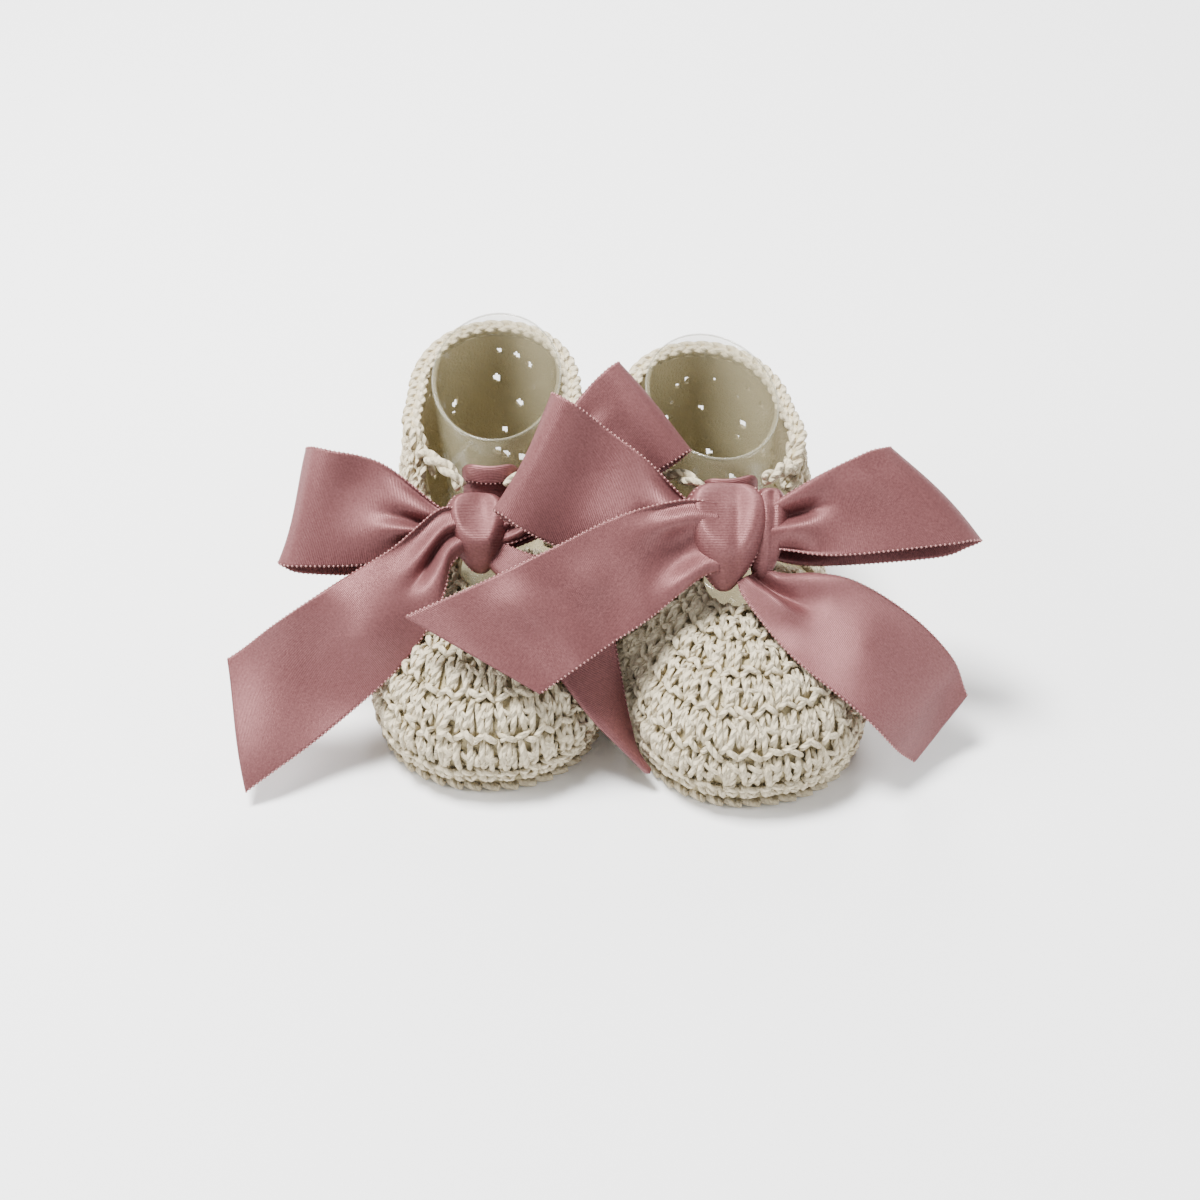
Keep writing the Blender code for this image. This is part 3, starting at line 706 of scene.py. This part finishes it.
def ribbon(name, stations, gather, wave, dents, doubled=False, steps=120, columns=45):
    """A ribbon between two smooth edges, gathered at the knot and waved beyond it.

    Where the edges stand nearer than the ribbon's width, the cloth between them rises and falls in folds, as
    deep as holds its width and flatter inside the knot; gather is (folds, phase, reach from the knot).
    A wave is (height, turns along, turns across, phase). A dent (share across, share along, height, spread
    across, spread along) is a soft hollow or rise. A doubled ribbon is folded in half along its length.
    """
    side = name.split("_")[0]
    edges = smooth_path(stations, steps)
    share = np.linspace(0, 1, columns)
    over = 1 - np.abs(1 - 2 * share) if doubled else share
    grid = edges[:, :1] + (edges[:, 1:] - edges[:, :1]) * over[None, :, None]
    normal = sheet_normals(edges[:, :1] + (edges[:, 1:] - edges[:, :1]) * share[None, :, None])
    run = np.concatenate([[0], np.cumsum(np.linalg.norm(np.diff(edges.mean(axis=1), axis=0), axis=-1))])
    far = np.minimum(run, run[-1] - run) if "loop" in name else run
    along = (run / run[-1])[:, None]
    width = np.linalg.norm(edges[:, 1] - edges[:, 0], axis=-1)
    folds, phase, reach = gather
    slack = np.clip(RIBBON_WIDTH / width, 1, 2.4)
    pressed = 0.35 + 0.65 * ease((far - 2) / 9)
    depth = np.sqrt(2 * (slack**2 - 1)) * width / (2 * np.pi * folds)
    depth = depth * (1 - ease((far - 3) / reach)) * pressed
    bent = share + 0.05 * np.sin(2 * np.pi * 1.4 * share + 2 * phase)
    raised = depth[:, None] * np.sin(2 * np.pi * folds * bent[None] + phase) * np.sin(np.pi * share) ** 0.3
    fade = ease(far / 14)[:, None]
    for height, turns, tilt, start in wave:
        raised = raised + height * fade * np.sin(2 * np.pi * (turns * along + tilt * share) + start)
    for at_across, at_along, height, wide, tall in dents:
        apart = ((share - at_across) / wide) ** 2 + ((along - at_along) / tall) ** 2
        raised = raised + height * np.exp(-apart)
    if doubled:
        raised = -DOUBLED_GAP * ease((share - 0.42) / 0.16)[None] + 0 * along
    grid = grid + normal * raised[..., None]
    cloth = surface(f"{name}_satin", bow_place(side, grid), ROSE)
    thicken(cloth, RIBBON_THICKNESS, 0)
    trims = []
    for label, line, inner in (("upper", grid[:, 0], grid[:, 1]), ("lower", grid[:, -1], grid[:, -2])):
        out = (line - inner) / np.linalg.norm(line - inner, axis=-1, keepdims=True)
        line = (line - 0.05 * out)[9 : len(line) - (9 if "loop" in name else 0)]
        trim = beads(f"{name}_picot_{label}", bow_place(side, line) / MM, PICOT_RADIUS, PICOT_PITCH, PICOT)
        trims.append(trim)
    for piece in (cloth, *trims):
        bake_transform(piece)
    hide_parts(BODY_NODES[name])


BODY_NODES = {
    f"{side}_{short}": f"{side}_{node}"
    for side in BOOTIES
    for short, node in (
        ("loop_left", "bow_loop_left"),
        ("loop_right", "bow_loop_right"),
        ("tail_left", "ribbon_tail_left"),
        ("tail_right", "ribbon_tail_right"),
    )
}
STATIONS = {
    "left_loop_left": [
        ((-2.5, 3, 1), (-2.5, -2, 1)),
        ((-7, 5, 1.5), (-7, -2.5, 1.5)),
        ((-18, 13.5, 3), (-20, -6, 3)),
        ((-28, 16, 4.5), (-34, -6.5, 4)),
        ((-31.5, 16.5, 2.5), (-38.5, -6, 2.5)),
        ((-32.5, 16, 0), (-39.5, -5.5, 0)),
        ((-31.5, 15.5, -2.5), (-38.5, -6.5, -2.5)),
        ((-27.5, 14.5, -4), (-34, -8, -4)),
        ((-17.5, 10.5, -4.5), (-20, -8, -4.5)),
        ((-7, 3.5, -1.5), (-7, -4, -1.5)),
        ((-2.5, 2, -1), (-2.5, -3, -1)),
    ],
    "left_loop_right": [
        ((2.5, 2.5, 1.5), (2.5, -1.5, 1)),
        ((6.5, 4.5, 2.5), (7, -2, 2)),
        ((14, 18, 4), (18, 3, 3.5)),
        ((21, 27, 5), (32.5, 10.5, 5.5)),
        ((25, 31, 6.5), (38, 13.5, 7)),
        ((27, 32.5, 6), (41, 15.5, 6.5)),
        ((27.5, 32.5, 4), (42, 16, 4.5)),
        ((25.5, 30, 2), (39, 13.5, 2)),
        ((21, 25.5, 1), (33.5, 10, 2)),
        ((13.5, 16, 1), (20.5, 3, 1)),
        ((6.5, 3, 0), (7, -3, -0.5)),
        ((2.5, 1.5, 0), (2.5, -2, -0.5)),
    ],
    "left_tail_left": [
        ((-2.5, 4.5, 3), (-2, -3.5, 3.5)),
        ((-7, 4.5, 4.5), (-5, -7, 5)),
        ((-16, -3, 6.5), (-7, -15, 7)),
        ((-27, -10, 7), (-14, -25.5, 8)),
        ((-37.5, -17, 6), (-28, -38, 7)),
        ((-49, -24.5, 3.5), (-43.5, -50, 6.5)),
    ],
    "left_tail_right": [
        ((4, -1.5, 1.5), (1.5, -5.5, 2.5)),
        ((9, -3.5, 2), (4.5, -8.5, 3)),
        ((18, -7, 3.5), (8.5, -14.5, 6.5)),
        ((25.5, -15, 4), (13.5, -22.5, 10.5)),
        ((28, -25.5, 4.5), (18, -29, 11)),
        ((29.5, -33.5, 4.5), (25, -37.5, 10)),
        ((31.5, -42.5, 2.5), (34.5, -46, 6.5)),
    ],
    "right_loop_left": [
        ((-4, 4, 2), (-4, -1, 2)),
        ((-9.5, 7.5, 2), (-10, -1.5, 2)),
        ((-17, 15, 3), (-20, -3.5, 1.5)),
        ((-25, 21, 4), (-33, -2, 3)),
        ((-30.5, 25, 7), (-40.5, 1.5, 6)),
        ((-33, 26.5, 7), (-44, 4, 6.5)),
        ((-34.5, 27, 4.5), (-46, 5, 4.5)),
        ((-32, 24, 2), (-42, 2, 2)),
        ((-26, 20, 1.5), (-33, -0.5, 1)),
        ((-17, 14, 0.5), (-20.5, -3, -1)),
        ((-9.5, 5.5, -1), (-10, -2.5, -1)),
        ((-4, 3, -0.5), (-4, -1.5, -1)),
    ],
    "right_loop_right": [
        ((4.5, 5, 1.5), (4.5, -2, 1.5)),
        ((10, 8, 1.5), (10, -2.5, 2)),
        ((18.5, 13, 3.5), (20, -3.5, 3.5)),
        ((26, 16.5, 4.5), (39.5, -1.5, 4)),
        ((29.5, 17.5, 2.5), (45, -1, 3)),
        ((30.5, 17.5, 0), (47.5, -1, 0)),
        ((29, 17, -2.5), (45.5, -2, -2)),
        ((26, 15, -4), (39.5, -4, -4)),
        ((17.5, 9.5, -4), (21, -5.5, -3.5)),
        ((10, 5.5, -2), (10.5, -5, -1)),
        ((4.5, 3.5, -1.5), (4.5, -2.5, -1)),
    ],
    "right_tail_left": [
        ((-3.5, 6.5, 3.5), (-3, -6.5, 4)),
        ((-10, 7, 5), (-7, -8, 5)),
        ((-22, 4, 6.5), (-15, -14.5, 6.5)),
        ((-35.5, -2.5, 8), (-24, -20.5, 8)),
        ((-49, -9, 9), (-30.5, -25, 9.5)),
        ((-62.5, -15, 9), (-37, -29.5, 10)),
    ],
    "right_tail_right": [
        ((5.5, -6, 0.5), (0.5, -8.5, 2)),
        ((11.5, -7.5, -0.5), (2.5, -12.5, 3)),
        ((23, -8.5, 0), (11.5, -23, 7.5)),
        ((35, -15, -1.5), (23, -33.5, 6.5)),
        ((43, -23.5, -4.5), (30, -40, 2.5)),
        ((46, -31, -7), (36, -44, -3.5)),
    ],
}
# Each ribbon's gather, its waves, its dents, and its length in millimetres along the middle
RELIEF = {
    "left_loop_left": (
        (2.5, 0.6, 18),
        [(1.0, 1.6, 0.5, 0.4)],
        [(0.3, 0.3, 1.4, 0.3, 0.07), (0.7, 0.22, -1.2, 0.2, 0.08)],
        74,
    ),
    "left_loop_right": ((2.5, 2.0, 36), [(0.6, 2, 0.4, 1)], [], 85),
    "left_tail_left": (
        (2.0, 1.0, 17),
        [(1.6, 1.3, 0.5, 0.2), (0.6, 2.2, -0.6, 1)],
        [(0.6, 0.5, -1.2, 0.25, 0.1)],
        60,
    ),
    "left_tail_right": ((1.5, 0, 8), [], [], 52),
    "right_loop_left": (
        (2.0, 0.4, 16),
        [(0.7, 1.1, 0.6, 2.2)],
        [(0.75, 0.2, -2.4, 0.3, 0.08), (0.35, 0.3, 1.0, 0.3, 0.06)],
        83,
    ),
    "right_loop_right": ((1.5, 1.4, 15), [(1.0, 1.6, 0.5, 0.9)], [(0.25, 0.3, 1.4, 0.3, 0.08)], 76),
    "right_tail_left": (
        (1.5, 2.4, 15),
        [(0.8, 3.0, -0.5, 0.3)],
        [
            (0.42, 0.5, -1.8, 0.25, 0.08),
            (0.3, 0.74, -1.8, 0.25, 0.08),
            (0.4, 0.62, 1.2, 0.3, 0.07),
            (0.6, 0.3, 1.6, 0.3, 0.1),
        ],
        54,
    ),
    "right_tail_right": (
        (1.5, 0.8, 15),
        [(1.2, 1.1, 0.4, 0.5)],
        [(0.5, 0.5, 1.6, 0.35, 0.14), (0.4, 0.95, -1.4, 0.5, 0.1)],
        52,
    ),
}
for body, (gather, wave, dents, length) in RELIEF.items():
    ribbon(body, STATIONS[body], gather, wave, dents, doubled=body == "left_tail_right")

# Ribbon bands: the stretch of the same ribbon that crosses the front of the ankle between the lacing loops.
# Its 25 mm width is folded over at the top and up at the bottom, so that 15 mm shows; a picot edge runs
# just below the top.
FOLD = [(0.8, 0.9), (0.9, 0.9), (0.98, 0.75), (1, 0.4), (0.98, 0.05), (0.9, 0), (0.5, 0), (0.06, 0), (0, 0.3)]
FOLD = smooth_path(FOLD + [(0.04, 0.6), (0.15, 0.65), (0.35, 0.65)], 70)
BAND_CLEAR, BAND_RUN = 0.8, 12
for side, rise in (("left", 45.5), ("right", 47)):
    turn = np.radians(np.linspace(-22, 22, 60))
    low = np.stack([13.6 * np.sin(turn), 23.5 - 30.0 * np.cos(turn), 31.5 + 0 * turn], axis=-1)
    top = rise - 2.0 * np.abs(turn / turn[-1]) ** 6
    high = np.stack([14.6 * np.sin(turn), 23.5 - 24.4 * np.cos(turn), top], axis=-1)
    grid = low + (high - low) * FOLD[:, :1, None] + np.array([0, -1, 0]) * (BAND_CLEAR + FOLD[:, 1:, None])
    band_piece = surface(f"{side}_band_satin", stand(side, grid), ROSE)
    thicken(band_piece, RIBBON_THICKNESS, 0)
    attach(band_piece, f"{side}_bootie")
    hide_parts(f"{side}_ribbon_band")
    line = stand(side, grid[0, 2:-2] + np.array([0, 0, -0.15])) / MM
    trim = beads(f"{side}_band_picot", line, PICOT_RADIUS, PICOT_PITCH, PICOT)
    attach(trim, f"{side}_bootie")

# Knots: ribbon wrapped tight over itself, 14 mm and 18 mm wide, hollow at the top and drawn in below.
# A narrower second turn shows beside each, and a picot edge runs down the first one's side.
KNOT_ROWS, KNOT_COLUMNS = 60, 96


def knot(name, side, place, half, tip, lean, hollow, folds):
    """Rings from top to bottom, wide above and drawn to a tip that leans sideways.

    A hollow (share across, share down, depth, spread) with a ridge round it, and folds (share across at the
    top, share across at the foot, height, spread) are pressed into the front, and fade towards the sides.
    """
    level = np.linspace(0, 1, KNOT_ROWS)[:, None]
    turn = np.linspace(0, 2 * np.pi, KNOT_COLUMNS + 1)[:-1][None]
    wide, tall, deep = half
    size = np.where(level < 0.5, np.sin(np.pi * level) ** 0.55, np.sin(np.pi * level) ** 0.65)
    draw = ease((level - 0.25) / 0.8)
    flat = wide * size * (1 - tip * draw) * np.cos(turn)
    p = flat + lean * draw
    q = tall * np.cos(np.pi * level) + 0 * p
    n = deep * size * (1 - 0.3 * draw) * np.sin(turn)
    across = p / wide
    down = (level - hollow[1]) * 2 * tall / wide
    from_hollow = np.sqrt((across - hollow[0]) ** 2 + down**2) / hollow[3]
    press = hollow[2] * (np.exp(-(from_hollow**2)) - 0.3 * np.exp(-(((from_hollow - 1.7) / 0.5) ** 2)))
    for start, end, height, spread in folds:
        line = start + (end - start) * level
        press = press + height * np.exp(-(((across - line) / spread) ** 2)) * np.sin(np.pi * level) ** 0.5
    n = n + press * np.clip(np.sin(turn), 0, 1) ** 0.5
    grid = np.stack([p, q, n], axis=-1) + np.array(place)
    made = surface(f"{name}_satin", bow_place(side, grid), ROSE, wrap=True)
    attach(made, f"{side}_bootie")
    return made, grid


def knot_edge(name, side, line):
    """The picot edge of the ribbon, down a column of the knot's own points."""
    trim = beads(f"{name}_picot", bow_place(side, line) / MM, PICOT_RADIUS, PICOT_PITCH, PICOT)
    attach(trim, f"{side}_bootie")


first, grid = knot(
    "left_bow_knot", "left", (0, 0, 0), (6.8, 8, 5), 0.62, 1.0, (0.15, 0.2, -2.6, 0.5),
    [(0.75, 0.3, 0.5, 0.2), (-0.75, -0.2, 0.3, 0.2)],
)
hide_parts("left_bow_knot")
knot_edge("left_bow_knot", "left", grid[8:52, 41])
knot(
    "left_knot_turn", "left", (5, -0.5, -1), (3.2, 6, 3.6), 0.3, 0.6, (0, 0.2, -0.6, 0.3),
    [(0.1, 0.2, -0.9, 0.2)],
)
first, grid = knot(
    "right_bow_knot", "right", (-1.5, 0, 0), (9.2, 10.5, 6), 0.7, -0.4, (0.1, 0.2, -3.0, 0.5),
    [(0.8, 0.3, 0.5, 0.2), (-0.8, -0.3, 0.3, 0.22), (0.3, 0.1, -0.5, 0.12)],
)
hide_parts("right_bow_knot")
knot_edge("right_bow_knot", "right", grid[8:54, 42])
knot_edge("right_bow_knot_right", "right", grid[8:44, 5])
knot(
    "right_knot_turn", "right", (7, 0.5, -1), (4, 9, 4.6), 0.4, -2, (0, 0.2, -0.5, 0.3),
    [(0.2, 0, -0.8, 0.2)],
)

# Stage: a plain pale floor under soft light, seen from the front and 40 degrees up.
FLOOR_SIZE = 6
bpy.ops.mesh.primitive_plane_add(size=FLOOR_SIZE)
floor = bpy.context.object
floor.name = "floor"
paper, _, paper_shader = nodes_of("paper", Roughness=0.9)
paper_shader.inputs["Base Color"].default_value = (0.96, 0.96, 0.96, 1)
floor.data.materials.append(paper)

world = bpy.data.worlds.new("studio")
bpy.context.scene.world = world
world.use_nodes = True
world.node_tree.nodes["Background"].inputs["Color"].default_value = (1, 1, 1, 1)
world.node_tree.nodes["Background"].inputs["Strength"].default_value = 0.5
LAMP_AIM_HEIGHT = 0.03
for name, place, size, power in (
    ("key", (-0.24, 0.06, 0.80), 0.24, 22),
    ("fill", (0.7, -0.2, 0.4), 0.3, 2.5),
    ("left", (-0.7, -0.1, 0.4), 0.3, 5),
    ("back", (0.1, 0.8, 0.5), 0.4, 8),
):
    lamp = bpy.data.lights.new(name, "AREA")
    lamp.size = size
    lamp.energy = power
    light = bpy.data.objects.new(name, lamp)
    bpy.context.scene.collection.objects.link(light)
    light.location = place
    light.rotation_mode = "QUATERNION"
    toward = np.array([0, 0, LAMP_AIM_HEIGHT]) - np.array(place)
    light.rotation_quaternion = Vector(toward).to_track_quat("-Z", "Y")

lens = bpy.data.cameras.new("camera")
lens.lens = 60
lens.sensor_width = 36
lens.shift_y = -0.05
camera = bpy.data.objects.new("camera", lens)
bpy.context.scene.collection.objects.link(camera)
bpy.context.scene.camera = camera
AIM, DISTANCE, ELEVATION = (0.0002, -0.00264, 0.03), 0.4, np.radians(40)
camera.location = (
    AIM[0],
    AIM[1] - DISTANCE * np.cos(ELEVATION),
    AIM[2] + DISTANCE * np.sin(ELEVATION),
)
camera.rotation_euler = (np.pi / 2 - ELEVATION, 0, 0)
